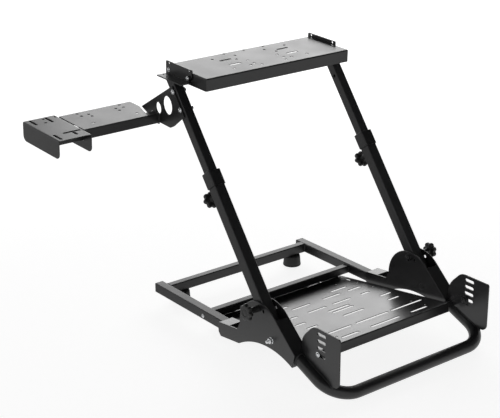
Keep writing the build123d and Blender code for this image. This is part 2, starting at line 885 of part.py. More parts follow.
# Slotted plates stand on the hoop legs.
bracket_top_z = slot_top_z + bracket_rise
bracket_low_z = 2 * hoop_radius + bracket_nose_lift
nose_y = slot_y - bracket_front + bracket_nose
with BuildPart() as right_pedal_bracket:
    with BuildSketch(side_plane(bracket_x)):
        with BuildLine():
            Polyline(
                (slot_y + bracket_rear, leg_z(slot_y + bracket_rear)),
                (slot_y + bracket_rear, bracket_top_z - bracket_rear_drop),
                (slot_y + bracket_slope_rear, bracket_top_z),
                (slot_y - bracket_front, bracket_top_z),
                (slot_y - bracket_front, bracket_low_z),
                (nose_y, bracket_low_z),
                (nose_y, leg_z(nose_y)),
                close=True,
            )
        make_face()
        for y, z, radius in (
            (slot_y + bracket_slope_rear, bracket_top_z, bracket_crown),
            (slot_y - bracket_front, bracket_top_z, bracket_corner),
            (slot_y - bracket_front, bracket_low_z, bracket_toe),
        ):
            fillet(vertices().sort_by_distance((y, z))[0], radius=radius)
        for i in range(bracket_slots):
            with Locations((slot_y, slot_low_z + i * bracket_slot_pitch)):
                SlotOverall(bracket_slot_length, bracket_slot_width, mode=Mode.SUBTRACT)
    extrude(amount=bracket_sheet)
    add(hoop_outside.part, mode=Mode.SUBTRACT)
left_pedal_bracket = make_left(right_pedal_bracket)

# Pedal plate with its front lip, hinge eyes and side tabs.
pedal_plane = Plane(
    origin=(stand_x, stand_y + pedal_rear_y, pedal_rear_z),
    x_dir=(1, 0, 0),
    z_dir=(0, pedal_sin, pedal_cos),
)
bolt_along = -(bolt_y - pedal_rear_y) * pedal_cos + (slot_low_z - pedal_rear_z) * pedal_sin
bolt_up = (bolt_y - pedal_rear_y) * pedal_sin + (slot_low_z - pedal_rear_z) * pedal_cos
with BuildPart() as pedal_plate:
    with BuildSketch(pedal_side(pedal_half_width)):
        with Locations((pedal_length / 2, -pedal_sheet / 2)):
            Rectangle(pedal_length, pedal_sheet)
        with Locations((pedal_length - pedal_sheet / 2, -pedal_lip / 2)):
            Rectangle(pedal_sheet, pedal_lip)
        fillet(vertices().sort_by_distance((pedal_length, 0))[0], radius=pedal_fold)
        fillet(
            vertices().sort_by_distance((pedal_length - pedal_sheet, -pedal_sheet))[0],
            radius=pedal_fold - pedal_sheet,
        )
    extrude(amount=2 * pedal_half_width)
    with BuildSketch(pedal_plane):
        with Locations((0, -pedal_length + pedal_fold + tab_strip / 2)):
            Rectangle(2 * tab_outer_x, tab_strip)
        for side in (-1, 1):
            with Locations((side * hinge_x, hinge_back / 2)):
                Rectangle(hinge_eye_length, hinge_back)
    extrude(amount=-pedal_sheet)
    with BuildSketch(pedal_plane):
        for ahead, row in pedal_rows:
            for x, length in row:
                with Locations((x, ahead - pedal_length)):
                    SlotOverall(length, pedal_slot_width)
        for x, ahead in pedal_front_holes:
            with Locations((x, ahead - pedal_length)):
                Circle(pedal_hole_radius)
        for inset, ahead in pedal_rear_holes:
            with Locations((pedal_half_width - inset, -ahead)):
                Circle(pedal_hole_radius)
        with Locations((pedal_half_width - pedal_rear_slot[0], -pedal_rear_slot[1])):
            SlotOverall(pedal_rear_slot_length, 2 * pedal_hole_radius, rotation=90)
    extrude(amount=-pedal_sheet, mode=Mode.SUBTRACT)
    for side in (-1, 1):
        with BuildSketch(pedal_side(side * hinge_x + hinge_eye_length / 2)):
            with Locations((-hinge_back, -pedal_sheet / 2)):
                Circle(hinge_eye_radius)
        extrude(amount=hinge_eye_length)
    with BuildSketch(pedal_side(2 * hinge_x)):
        with Locations((-hinge_back, -pedal_sheet / 2)):
            Circle(hinge_pin_radius + running_play)
    extrude(amount=4 * hinge_x, mode=Mode.SUBTRACT)
    for x in (tab_outer_x, -tab_outer_x + pedal_sheet):
        with BuildSketch(pedal_side(x)):
            with BuildLine():
                Polyline(
                    (pedal_length - pedal_fold - tab_strip, -pedal_sheet),
                    (pedal_length - pedal_fold, -pedal_sheet),
                    (bolt_along, bolt_up - tab_radius),
                    (bolt_along, bolt_up + tab_radius),
                    (pedal_length - pedal_fold - tab_strip, tab_heel),
                    close=True,
                )
            make_face()
            with Locations((bolt_along, bolt_up)):
                Circle(tab_radius)
                Circle(tab_bolt_radius, mode=Mode.SUBTRACT)
        extrude(amount=pedal_sheet)

pieces = {
    "left_rail": left_rail,
    "right_rail": right_rail,
    "left_end_cap": left_end_cap,
    "right_end_cap": right_end_cap,
    "rear_crossbar": rear_crossbar,
    "middle_crossbar": middle_crossbar,
    "left_foot": left_foot,
    "right_foot": right_foot,
    "left_gusset": left_gusset,
    "right_gusset": right_gusset,
    "left_pivot_bolt": left_pivot_bolt,
    "right_pivot_bolt": right_pivot_bolt,
    "left_lock_knob": left_lock_knob,
    "right_lock_knob": right_lock_knob,
    "front_hoop": front_hoop,
    "left_pedal_bracket": left_pedal_bracket,
    "right_pedal_bracket": right_pedal_bracket,
    "pedal_plate": pedal_plate,
    "left_outer_post": left_outer_post,
    "right_outer_post": right_outer_post,
    "left_collar": left_collar,
    "right_collar": right_collar,
    "left_height_knob": left_height_knob,
    "right_height_knob": right_height_knob,
    "left_inner_post": left_inner_post,
    "right_inner_post": right_inner_post,
    "left_tray_bracket": left_tray_bracket,
    "right_tray_bracket": right_tray_bracket,
    "wheel_tray": wheel_tray,
    "shifter_bracket": shifter_bracket,
    "shifter_arm": shifter_arm,
    "shifter_plate": shifter_plate,
    "shifter_end_plate": shifter_end_plate,
}
for name, piece in pieces.items():
    piece.part.label = name
    export_step(piece.part, f"parts/{name}.step")
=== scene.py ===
import json
import math
import bmesh
import bpy
from mathutils import Matrix, Vector


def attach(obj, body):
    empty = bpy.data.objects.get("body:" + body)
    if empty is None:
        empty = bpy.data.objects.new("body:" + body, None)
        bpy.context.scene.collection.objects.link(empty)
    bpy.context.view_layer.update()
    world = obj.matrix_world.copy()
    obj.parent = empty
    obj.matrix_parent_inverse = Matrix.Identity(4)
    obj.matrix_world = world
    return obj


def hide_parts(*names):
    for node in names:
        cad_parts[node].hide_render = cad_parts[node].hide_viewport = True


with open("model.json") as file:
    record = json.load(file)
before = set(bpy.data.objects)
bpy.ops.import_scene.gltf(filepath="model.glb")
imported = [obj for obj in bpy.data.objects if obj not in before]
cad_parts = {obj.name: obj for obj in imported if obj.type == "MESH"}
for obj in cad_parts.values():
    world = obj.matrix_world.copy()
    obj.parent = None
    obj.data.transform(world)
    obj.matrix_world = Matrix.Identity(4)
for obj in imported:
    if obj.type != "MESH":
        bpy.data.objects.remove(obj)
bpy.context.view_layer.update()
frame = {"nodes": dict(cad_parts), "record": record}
nodes = frame["nodes"]
print("frame loaded:", len(nodes), "nodes")

# the stand's own layout in mm, as in the part: y = 0 at the rear end of the rails
stand = {
    "shift": (129.0, 318.7605),
    "pivot": (-494.548, 87.8),
    "lock": (-446.46, 151.73),
    "postAngle": 53.05,
    "postX": 242.5,
    "postHalf": 15.0,
    "deckTilt": 2.1,
    "trayFront": (-201.512, 640.0),
    "shelfFront": (-52.885, 529.101),
    "shifterFaceX": -258.0,
    "gussetInnerX": 222.5,
    "gussetFaceX": 262.5,
    "railFaceX": 250.0,
    "railInnerX": 225.0,
}
sides = ((-1, "left"), (1, "right"))


def cosSin(degrees):
    return math.cos(math.radians(degrees)), math.sin(math.radians(degrees))


def spot(x, y, z):  # mm of the stand to metres of the frame
    return Vector(((x + stand["shift"][0]) / 1000, (y + stand["shift"][1]) / 1000, z / 1000))


def postSpot(x, along, ahead=0.0):  # up a post, and out of its front face
    c, s = cosSin(stand["postAngle"])
    py, pz = stand["pivot"]
    return spot(x, py + along * c - ahead * s, pz + along * s + ahead * c)


def deckSpot(x, front, back, up):  # back along a deck sheet, and up out of it
    c, s = cosSin(stand["deckTilt"])
    return spot(x, front[0] + back * c - up * s, front[1] + back * s + up * c)


def axisMatrix(place, axis):
    return Matrix.Translation(place) @ Vector(axis).to_track_quat("Z", "Y").to_matrix().to_4x4()


# node helpers; a colour mix has its two colours and its result at these sockets
mixFirst, mixSecond, mixResult = 6, 7, 2


def addNode(tree, kind, place=(0, 0), **values):
    node = tree.nodes.new(kind)
    node.location = place
    for key, value in values.items():
        setattr(node, key, value)
    return node


def setInputs(node, **values):
    for key, value in values.items():
        node.inputs[key].default_value = value


def newGroup(name, inputs, outputs):
    group = bpy.data.node_groups.new(name, "ShaderNodeTree")
    for label, kind, value in inputs:
        socket = group.interface.new_socket(name=label, in_out="INPUT", socket_type=kind)
        socket.default_value = value
    for label, kind in outputs:
        group.interface.new_socket(name=label, in_out="OUTPUT", socket_type=kind)
    return group, group.nodes.new("NodeGroupInput"), group.nodes.new("NodeGroupOutput")


# fine orange peel and slow unevenness of a sprayed coat
coatNoise = {
    "peel": {"Detail": 2.0, "Roughness": 0.45},
    "slow": {"Scale": 14.0, "Detail": 5.0},
    "middle": 0.5,
}


def makeCoatGroup():
    group, inn, out = newGroup(
        "coatSkin",
        [
            ("Dark", "NodeSocketColor", (0.01, 0.01, 0.011, 1)),
            ("Light", "NodeSocketColor", (0.02, 0.02, 0.021, 1)),
            ("Peel Scale", "NodeSocketFloat", 900.0),
            ("Smooth", "NodeSocketFloat", 0.25),
            ("Uneven", "NodeSocketFloat", 0.08),
        ],
        [("Color", "NodeSocketColor"), ("Roughness", "NodeSocketFloat"), ("Height", "NodeSocketFloat")],
    )
    link = group.links.new
    coord = addNode(group, "ShaderNodeTexCoord", (-900, 0))
    peel = addNode(group, "ShaderNodeTexNoise", (-600, 200))
    setInputs(peel, **coatNoise["peel"])
    slow = addNode(group, "ShaderNodeTexNoise", (-600, -100))
    setInputs(slow, **coatNoise["slow"])
    mix = addNode(group, "ShaderNodeMix", (-200, 100), data_type="RGBA")
    swing = addNode(group, "ShaderNodeMath", (-350, -200), operation="SUBTRACT")
    swing.inputs[1].default_value = coatNoise["middle"]
    grow = addNode(group, "ShaderNodeMath", (-200, -200), operation="MULTIPLY_ADD")
    link(coord.outputs["Object"], peel.inputs["Vector"])
    link(coord.outputs["Object"], slow.inputs["Vector"])
    link(inn.outputs["Peel Scale"], peel.inputs["Scale"])
    link(slow.outputs["Fac"], mix.inputs["Factor"])
    link(inn.outputs["Dark"], mix.inputs[mixFirst])
    link(inn.outputs["Light"], mix.inputs[mixSecond])
    link(slow.outputs["Fac"], swing.inputs[0])
    link(swing.outputs[0], grow.inputs[0])
    link(inn.outputs["Uneven"], grow.inputs[1])
    link(inn.outputs["Smooth"], grow.inputs[2])
    link(mix.outputs[mixResult], out.inputs["Color"])
    link(grow.outputs[0], out.inputs["Roughness"])
    link(peel.outputs["Fac"], out.inputs["Height"])
    return group


# worn, rounded edges: a mask along the edges and a normal that rounds them
edgeCut = {
    "samples": 6,
    "edge": {"From Min": 0.985, "From Max": 0.80},
    "patch": {"Detail": 6.0},
    "cut": {"From Min": 0.42, "From Max": 0.72},
}


def makeEdgeGroup():
    group, inn, out = newGroup(
        "edgeWear",
        [
            ("Reach", "NodeSocketFloat", 0.0012),
            ("Patch Scale", "NodeSocketFloat", 60.0),
            ("Amount", "NodeSocketFloat", 0.5),
        ],
        [("Mask", "NodeSocketFloat"), ("Normal", "NodeSocketVector")],
    )
    link = group.links.new
    bevel = addNode(group, "ShaderNodeBevel", (-700, 100), samples=edgeCut["samples"])
    shape = addNode(group, "ShaderNodeNewGeometry", (-700, -100))
    dot = addNode(group, "ShaderNodeVectorMath", (-500, 0), operation="DOT_PRODUCT")
    edge = addNode(group, "ShaderNodeMapRange", (-300, 0))
    setInputs(edge, **edgeCut["edge"])
    coord = addNode(group, "ShaderNodeTexCoord", (-900, -300))
    patch = addNode(group, "ShaderNodeTexNoise", (-600, -300))
    setInputs(patch, **edgeCut["patch"])
    cut = addNode(group, "ShaderNodeMapRange", (-350, -300))
    setInputs(cut, **edgeCut["cut"])
    both = addNode(group, "ShaderNodeMath", (-100, -100), operation="MULTIPLY")
    some = addNode(group, "ShaderNodeMath", (60, -100), operation="MULTIPLY")
    link(inn.outputs["Reach"], bevel.inputs["Radius"])
    link(bevel.outputs["Normal"], dot.inputs[0])
    link(shape.outputs["Normal"], dot.inputs[1])
    link(dot.outputs["Value"], edge.inputs["Value"])
    link(coord.outputs["Object"], patch.inputs["Vector"])
    link(inn.outputs["Patch Scale"], patch.inputs["Scale"])
    link(patch.outputs["Fac"], cut.inputs["Value"])
    link(edge.outputs["Result"], both.inputs[0])
    link(cut.outputs["Result"], both.inputs[1])
    link(both.outputs[0], some.inputs[0])
    link(inn.outputs["Amount"], some.inputs[1])
    link(some.outputs[0], out.inputs["Mask"])
    link(bevel.outputs["Normal"], out.inputs["Normal"])
    return group


# fine drawn or moulded texture of small hardware, plastic and rubber
grainCloud = {"Scale": 90.0, "Detail": 6.0}


def makeGrainGroup():
    group, inn, out = newGroup(
        "fineGrain",
        [
            ("Dark", "NodeSocketColor", (0.5, 0.5, 0.5, 1)),
            ("Light", "NodeSocketColor", (0.7, 0.7, 0.7, 1)),
            ("Grain Scale", "NodeSocketFloat", 700.0),
            ("Low", "NodeSocketFloat", 0.25),
            ("High", "NodeSocketFloat", 0.45),
        ],
        [("Color", "NodeSocketColor"), ("Roughness", "NodeSocketFloat"), ("Height", "NodeSocketFloat")],
    )
    link = group.links.new
    coord = addNode(group, "ShaderNodeTexCoord", (-900, 0))
    cells = addNode(group, "ShaderNodeTexVoronoi", (-600, 150))
    cloud = addNode(group, "ShaderNodeTexNoise", (-600, -150))
    setInputs(cloud, **grainCloud)
    mix = addNode(group, "ShaderNodeMix", (-200, 100), data_type="RGBA")
    rough = addNode(group, "ShaderNodeMapRange", (-200, -150))
    link(coord.outputs["Object"], cells.inputs["Vector"])
    link(coord.outputs["Object"], cloud.inputs["Vector"])
    link(inn.outputs["Grain Scale"], cells.inputs["Scale"])
    link(cloud.outputs["Fac"], mix.inputs["Factor"])
    link(inn.outputs["Dark"], mix.inputs[mixFirst])
    link(inn.outputs["Light"], mix.inputs[mixSecond])
    link(cloud.outputs["Fac"], rough.inputs["Value"])
    link(inn.outputs["Low"], rough.inputs["To Min"])
    link(inn.outputs["High"], rough.inputs["To Max"])
    link(mix.outputs[mixResult], out.inputs["Color"])
    link(rough.outputs["Result"], out.inputs["Roughness"])
    link(cells.outputs["Distance"], out.inputs["Height"])
    return group


coatSkin = makeCoatGroup()
edgeWear = makeEdgeGroup()
fineGrain = makeGrainGroup()


def newMaterial(name):
    material = bpy.data.materials.new(name)
    material.use_nodes = True
    tree = material.node_tree
    return material, tree, tree.nodes["Principled BSDF"]


def placeGroup(tree, group, place, **values):
    node = addNode(tree, "ShaderNodeGroup", place, node_tree=group)
    setInputs(node, **values)
    return node


# sprayed coats of tube and sheet, and what they share
coats = {
    "tubeCoat": {
        "skin": {"Dark": (0.012, 0.012, 0.013, 1), "Light": (0.019, 0.019, 0.020, 1),
                 "Peel Scale": 850.0, "Smooth": 0.42, "Uneven": 0.12},
        "edge": {"Reach": 0.0011, "Patch Scale": 70.0, "Amount": 0.12},
        "bump": 0.05,
    },
    "sheetCoat": {
        "skin": {"Dark": (0.014, 0.014, 0.015, 1), "Light": (0.022, 0.022, 0.023, 1),
                 "Peel Scale": 1000.0, "Smooth": 0.32, "Uneven": 0.12},
        "edge": {"Reach": 0.0008, "Patch Scale": 70.0, "Amount": 0.08},
        "bump": 0.03,
    },
}
coatShare = {"thinned": (0.11, 0.11, 0.112, 1), "bumpDepth": 0.0001, "ior": 1.5}


def makeCoat(name):
    look = coats[name]
    material, tree, skin = newMaterial(name)
    link = tree.links.new
    coat = placeGroup(tree, coatSkin, (-700, 200), **look["skin"])
    edge = placeGroup(tree, edgeWear, (-700, -150), **look["edge"])
    mix = addNode(tree, "ShaderNodeMix", (-350, 200), data_type="RGBA")
    mix.inputs[mixSecond].default_value = coatShare["thinned"]
    bump = addNode(tree, "ShaderNodeBump", (-350, -200))
    setInputs(bump, Strength=look["bump"], Distance=coatShare["bumpDepth"])
    link(coat.outputs["Color"], mix.inputs[mixFirst])
    link(edge.outputs["Mask"], mix.inputs["Factor"])
    link(mix.outputs[mixResult], skin.inputs["Base Color"])
    link(coat.outputs["Roughness"], skin.inputs["Roughness"])
    link(coat.outputs["Height"], bump.inputs["Height"])
    link(edge.outputs["Normal"], bump.inputs["Normal"])
    link(bump.outputs["Normal"], skin.inputs["Normal"])
    skin.inputs["IOR"].default_value = coatShare["ior"]
    return material


# plastic, rubber and plated hardware, and what they share
grains = {
    "knobPlastic": {
        "skin": {"Dark": (0.007, 0.007, 0.007, 1), "Light": (0.013, 0.013, 0.013, 1),
                 "Grain Scale": 1600.0, "Low": 0.38, "High": 0.52},
        "bump": 0.25, "metal": 0.0,
    },
    "collarPlastic": {
        "skin": {"Dark": (0.011, 0.011, 0.012, 1), "Light": (0.016, 0.016, 0.017, 1),
                 "Grain Scale": 1400.0, "Low": 0.30, "High": 0.42},
        "bump": 0.12, "metal": 0.0,
    },
    "footRubber": {
        "skin": {"Dark": (0.008, 0.008, 0.008, 1), "Light": (0.016, 0.016, 0.016, 1),
                 "Grain Scale": 900.0, "Low": 0.55, "High": 0.75},
        "bump": 0.35, "metal": 0.0,
    },
    "zincPlate": {
        "skin": {"Dark": (0.55, 0.56, 0.57, 1), "Light": (0.78, 0.79, 0.80, 1),
                 "Grain Scale": 900.0, "Low": 0.14, "High": 0.26},
        "bump": 0.06, "metal": 1.0,
    },
}
grainShare = {"edge": {"Reach": 0.0006, "Patch Scale": 90.0, "Amount": 0.0}, "bumpDepth": 0.0002}


def makeGrain(name):
    look = grains[name]
    material, tree, skin = newMaterial(name)
    link = tree.links.new
    grain = placeGroup(tree, fineGrain, (-700, 100), **look["skin"])
    edge = placeGroup(tree, edgeWear, (-700, -250), **grainShare["edge"])
    bump = addNode(tree, "ShaderNodeBump", (-350, -150))
    setInputs(bump, Strength=look["bump"], Distance=grainShare["bumpDepth"])
    link(grain.outputs["Color"], skin.inputs["Base Color"])
    link(grain.outputs["Roughness"], skin.inputs["Roughness"])
    link(grain.outputs["Height"], bump.inputs["Height"])
    link(edge.outputs["Normal"], bump.inputs["Normal"])
    link(bump.outputs["Normal"], skin.inputs["Normal"])
    skin.inputs["Metallic"].default_value = look["metal"]
    return material


finishes = {name: makeCoat(name) for name in coats}
finishes.update({name: makeGrain(name) for name in grains})
slotFinish = {
    "frame_tube": "tubeCoat",
    "sheet_metal": "sheetCoat",
    "knob_plastic": "knobPlastic",
    "collar_plastic": "collarPlastic",
    "foot_rubber": "footRubber",
    "zinc": "zincPlate",
}
for part in frame["record"]["subparts"]:
    mesh = nodes[part["node"]].data
    mesh.materials.clear()
    mesh.materials.append(finishes[slotFinish[part["material_slot"]]])
print("finishes set:", len(finishes))

# mesh helpers
sharpAngle = math.radians(32)


def bridge(bm, a, b):  # faces between two closed loops, one of which may be a point
    count = max(len(a), len(b))
    for i in range(count):
        j = (i + 1) % count
        if len(a) == 1:
            bm.faces.new((a[0], b[j], b[i]))
        elif len(b) == 1:
            bm.faces.new((a[i], a[j], b[0]))
        else:
            bm.faces.new((a[i], a[j], b[j], b[i]))


def addPrism(bm, points, shift):
    near = [bm.verts.new(point) for point in points]
    far = [bm.verts.new(point + shift) for point in points]
    bm.faces.new(near)
    bm.faces.new(far)
    bridge(bm, near, far)


def finishPiece(name, bm, finish, body, place=None, sharp=True):
    bmesh.ops.recalc_face_normals(bm, faces=bm.faces)
    mesh = bpy.data.meshes.new(name)
    bm.to_mesh(mesh)
    bm.free()
    for face in mesh.polygons:
        face.use_smooth = True
    if sharp:
        mesh.set_sharp_from_angle(angle=sharpAngle)
    piece = bpy.data.objects.new(name, mesh)
    bpy.context.scene.collection.objects.link(piece)
    if place is not None:
        piece.matrix_world = place
    mesh.materials.append(finishes[finish])
    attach(piece, body)
    return piece


# pieces turned from rings of (radius, height, shape): shape 0 round, 1 hexagon, 2 star
starPlan = {"lobes": 7, "depth": 0.20, "narrow": 1.6}


def ringRadius(radius, shape, angle):
    if shape == 1:
        part = (angle % (math.pi / 3)) - math.pi / 6
        return radius * math.cos(math.pi / 6) / math.cos(part)
    if shape == 2:
        wave = 0.5 - 0.5 * math.cos(starPlan["lobes"] * angle)
        return radius * (1 - starPlan["depth"] * wave ** starPlan["narrow"])
    return radius


def turnPiece(name, rings, place, axis, finish, body, segments=48):
    bm = bmesh.new()
    loops = []
    for radius, height, shape in rings:
        if radius == 0:
            loops.append([bm.verts.new((0, 0, height / 1000))])
            continue
        loop = []
        for i in range(segments):
            angle = 2 * math.pi * i / segments
            r = ringRadius(radius, shape, angle) / 1000
            loop.append(bm.verts.new((r * math.cos(angle), r * math.sin(angle), height / 1000)))
        loops.append(loop)
    for a, b in zip(loops, loops[1:]):
        bridge(bm, a, b)
    return finishPiece(name, bm, finish, body, axisMatrix(place, axis))


def scaledRings(rings, r):
    return [(radius * r, height * r, shape) for radius, height, shape in rings]


# button head with washer and hexagon socket, for a bolt of radius 1
headShape = (
    (0, 0, 0), (1.45, 0, 0), (1.5, 0.1, 0), (1.5, 0.22, 0), (1.42, 0.3, 0), (1.04, 0.3, 0), (1.04, 0.42, 0),
    (0.98, 0.62, 0), (0.86, 0.8, 0), (0.68, 0.92, 0), (0.5, 0.96, 0), (0.46, 0.94, 1), (0.44, 0.9, 1),
    (0.44, 0.5, 1), (0, 0.44, 0),
)


def headRings(r):
    return scaledRings(headShape, r)


# washer, hexagon nut and the threaded end of its bolt, for a bolt of radius 1
nutShape = (
    (0, 0, 0), (2.1, 0, 0), (2.15, 0.08, 0), (2.1, 0.3, 0), (1.85, 0.32, 1), (1.95, 0.42, 1), (1.95, 1.75, 1),
    (1.7, 1.95, 1), (1.25, 1.97, 0), (1, 1.9, 0),
)
threadPlan = {
    "start": 1.9, "pitch": 0.3, "flank": (0.1, 0.2), "root": 0.86, "tip": 0.8, "tipRise": (0.25, 0.27),
}


def nutRings(r, tail):
    rings = scaledRings(nutShape, r)
    pitch, root = threadPlan["pitch"], threadPlan["root"]
    rise, fall = threadPlan["flank"]
    for i in range(max(1, int(tail / (pitch * r)))):
        base = threadPlan["start"] * r + i * pitch * r
        rings += [(r, base + rise * r, 0), (root * r, base + fall * r, 0), (r, base + pitch * r, 0)]
    top = rings[-1][1]
    edge, crown = threadPlan["tipRise"]
    return rings + [(threadPlan["tip"] * r, top + edge * r, 0), (0, top + crown * r, 0)]


# thin coated head that lies almost flush in its sheet: share of the radius, and height in mm
flushShape = (
    (0, -1.6), (0.58, -1.6), (0.58, 0.02), (1, 0.02), (0.985, 0.3), (0.93, 0.46), (0.8, 0.52), (0, 0.55),
)


def flushRings(r):
    return [(share * r, height, 0) for share, height in flushShape]


# star knobs: hub, lobed head with rolled edges and a sunk cap
knobPlan = {
    "head": 12, "lockStem": 28.5, "heightStem": 22.0, "heightReach": 366.0, "screw": 4.15, "screwTail": 2.5,
    "segments": 126,
}


def knobRings(stem):
    top = stem + knobPlan["head"]
    hub = [(0, 0, 0), (7.4, 0, 0), (8, 0.8, 0), (7.6, stem * 0.35, 0), (7.2, stem - 5, 0)]
    neck = [(8.5, stem - 1.5, 0), (12, stem, 0), (16.5, stem + 0.3, 2), (19.6, stem + 1.4, 2)]
    rim = [(20.8, stem + 3.4, 2), (20.8, top - 3.6, 2), (19.8, top - 1.4, 2), (17.6, top - 0.25, 2)]
    face = [(13, top - 0.1, 2), (9.5, top - 0.3, 0), (8.8, top - 1.3, 0), (8.3, top - 1.5, 0)]
    cap = [(8.0, top - 1.0, 0), (5, top - 0.5, 0), (0, top - 0.4, 0)]
    return hub + neck + rim + face + cap


def makeKnobs():
    c, s = cosSin(stand["postAngle"])
    postBack = Vector((0, s, -c))
    screw, tail = knobPlan["screw"], -knobPlan["screwTail"]
    lockRings = [(0, tail, 0), (screw, tail, 0), (screw, 0, 0)] + knobRings(knobPlan["lockStem"])[1:]
    heightRings = knobRings(knobPlan["heightStem"])
    for side, label in sides:
        face = spot(side * stand["gussetFaceX"], *stand["lock"])
        knob = turnPiece(label + "LockKnob", lockRings, face, (side, 0, 0), "knobPlastic", "base",
                         knobPlan["segments"])
        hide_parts(label + "_lock_knob")
        rear = postSpot(side * stand["postX"], knobPlan["heightReach"], -stand["postHalf"])
        knob = turnPiece(label + "HeightKnob", heightRings, rear, postBack, "knobPlastic", "posts",
                         knobPlan["segments"])
        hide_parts(label + "_height_knob")


makeKnobs()
print("knobs made")

# rubber feet with a lip, a groove and a sunk screw
footPlan = {
    "x": 188.0,
    "y": -28.0,
    "segments": 72,
    "rings": (
        (0, 6, 0), (6.2, 6, 0), (7, 5.4, 0), (7, 1.6, 0), (8, 0.4, 0), (10, 0, 0), (22.6, 0, 0), (24, 0.6, 0),
        (24.5, 1.8, 0), (24.5, 4.4, 0), (23.9, 5.2, 0), (23.7, 5.9, 0), (24.0, 6.6, 0), (23.5, 12, 0),
        (22.9, 20, 0), (22.4, 26, 0), (21.6, 28.4, 0), (20.2, 29.6, 0), (18.6, 30, 0), (0, 30, 0),
    ),
    "screwSegments": 36,
    "screwRings": ((0, 3.2, 0), (5.6, 3.2, 0), (6, 3.6, 0), (6, 6.4, 0), (0, 6.6, 0)),
    "axis": (0, 0, 1),
}
for side, label in sides:
    place, axis = spot(side * footPlan["x"], footPlan["y"], 0), footPlan["axis"]
    foot = turnPiece(label + "RubberFoot", footPlan["rings"], place, axis, "footRubber", "base",
                     footPlan["segments"])
    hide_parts(label + "_foot")
    turnPiece(label + "FootScrew", footPlan["screwRings"], place, axis, "zincPlate", "base",
              footPlan["screwSegments"])
print("feet made")

# bolts that hold what can be moved: heads by radius, nuts by radius and length of thread
boltPlan = {
    "trayHead": 3.6, "trayNut": (3.0, 2.5), "trayPinX": 231.0, "trayEarX": 227.0, "trayFlangeX": 222.0,
    "trayBack": (65.0, 148.0), "trayUp": -13.0,
    "lockNut": (4.2, 1.5),
    "pivotHead": 8.5, "pivotShank": (3.8, 38.2), "pivotNut": (3.8, 7.0),
    "pedalHead": 4.3, "pedalNut": (3.8, 3.0), "pedalPlace": (-631.45, 99.13), "pedalPlateX": 238.5,
    "pedalTabX": 233.5,
    "railHead": 3.4, "railPlace": (-210.0, 40.0),
    "shifterHead": 4.2, "shifterNut": (3.6, 3.0), "shifterNutX": -230.0, "postTop": 665.2,
    "shifterBelow": {"Upper": 30.0, "Lower": 78.0},
    "armHead": 2.6, "armPlace": (-23.96, 525.5), "armSegments": 36,
}


def trayBoltSpot(x, back):
    return deckSpot(x, stand["trayFront"], back, boltPlan["trayUp"])


def makeSideBolts(side, label):
    out, inward = (side, 0, 0), (-side, 0, 0)
    front, rear = boltPlan["trayBack"]
    trayHead = headRings(boltPlan["trayHead"])
    place = trayBoltSpot(side * boltPlan["trayPinX"], front)
    turnPiece(label + "TrayPinHead", trayHead, place, out, "zincPlate", "upper")
    place = trayBoltSpot(side * boltPlan["trayEarX"], rear)
    turnPiece(label + "TrayBoltHead", trayHead, place, out, "zincPlate", "tray")
    place = trayBoltSpot(side * boltPlan["trayFlangeX"], rear)
    turnPiece(label + "TrayBoltNut", nutRings(*boltPlan["trayNut"]), place, inward, "zincPlate", "tray")
    place = spot(side * stand["gussetInnerX"], *stand["lock"])
    turnPiece(label + "LockNut", nutRings(*boltPlan["lockNut"]), place, inward, "tubeCoat", "base")
    place = spot(side * stand["gussetInnerX"], *stand["pivot"])
    turnPiece(label + "PivotHead", flushRings(boltPlan["pivotHead"]), place, inward, "sheetCoat", "base")
    radius, length = boltPlan["pivotShank"]
    shank = [(0, -length, 0), (radius, -length, 0), (radius, 0, 0)]
    place = spot(side * stand["gussetFaceX"], *stand["pivot"])
    rings = shank + nutRings(*boltPlan["pivotNut"])[1:]
    bolt = turnPiece(label + "PivotBolt", rings, place, out, "zincPlate", "base")
    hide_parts(label + "_pivot_bolt")
    place = spot(side * boltPlan["pedalPlateX"], *boltPlan["pedalPlace"])
    turnPiece(label + "PedalBoltHead", headRings(boltPlan["pedalHead"]), place, out, "zincPlate", "pedals")
    place = spot(side * boltPlan["pedalTabX"], *boltPlan["pedalPlace"])
    turnPiece(label + "PedalBoltNut", nutRings(*boltPlan["pedalNut"]), place, inward, "tubeCoat", "pedals")
    place = spot(side * stand["railFaceX"], *boltPlan["railPlace"])
    turnPiece(label + "CrossbarScrew", headRings(boltPlan["railHead"]), place, out, "zincPlate", "base")


def makeShifterBolts():
    out, inward = (-1, 0, 0), (1, 0, 0)
    head, nut = headRings(boltPlan["shifterHead"]), nutRings(*boltPlan["shifterNut"])
    for label, below in boltPlan["shifterBelow"].items():
        along = boltPlan["postTop"] - below
        place = postSpot(stand["shifterFaceX"], along)
        turnPiece("shifter" + label + "Bolt", head, place, out, "zincPlate", "upper")
        place = postSpot(boltPlan["shifterNutX"], along)
        turnPiece("shifter" + label + "Nut", nut, place, inward, "zincPlate", "upper")
    place = spot(stand["shifterFaceX"], *boltPlan["armPlace"])
    turnPiece("shifterArmBolt", headRings(boltPlan["armHead"]), place, out, "zincPlate", "upper",
              boltPlan["armSegments"])


for side, label in sides:
    makeSideBolts(side, label)
makeShifterBolts()
print("bolts made")

# rear margin of the pedal plate with its turned-up lip, in three lengths beside the hinges
marginPlan = {
    "rear": (-205.0, 20.0), "tilt": 9.15, "flat": 11.0, "fold": 3.0, "lip": 8.0, "sheet": 1.5, "turns": 6,
    "lengths": {"Left": (-212.5, -146.5), "Middle": (-93.5, 93.5), "Right": (146.5, 212.5)},
}


def marginSpot(x, back, up):  # back from the rear edge of the pedal plate, and up out of it
    c, s = cosSin(marginPlan["tilt"])
    y, z = marginPlan["rear"]
    return spot(x, y + back * c + up * s, z - back * s + up * c)


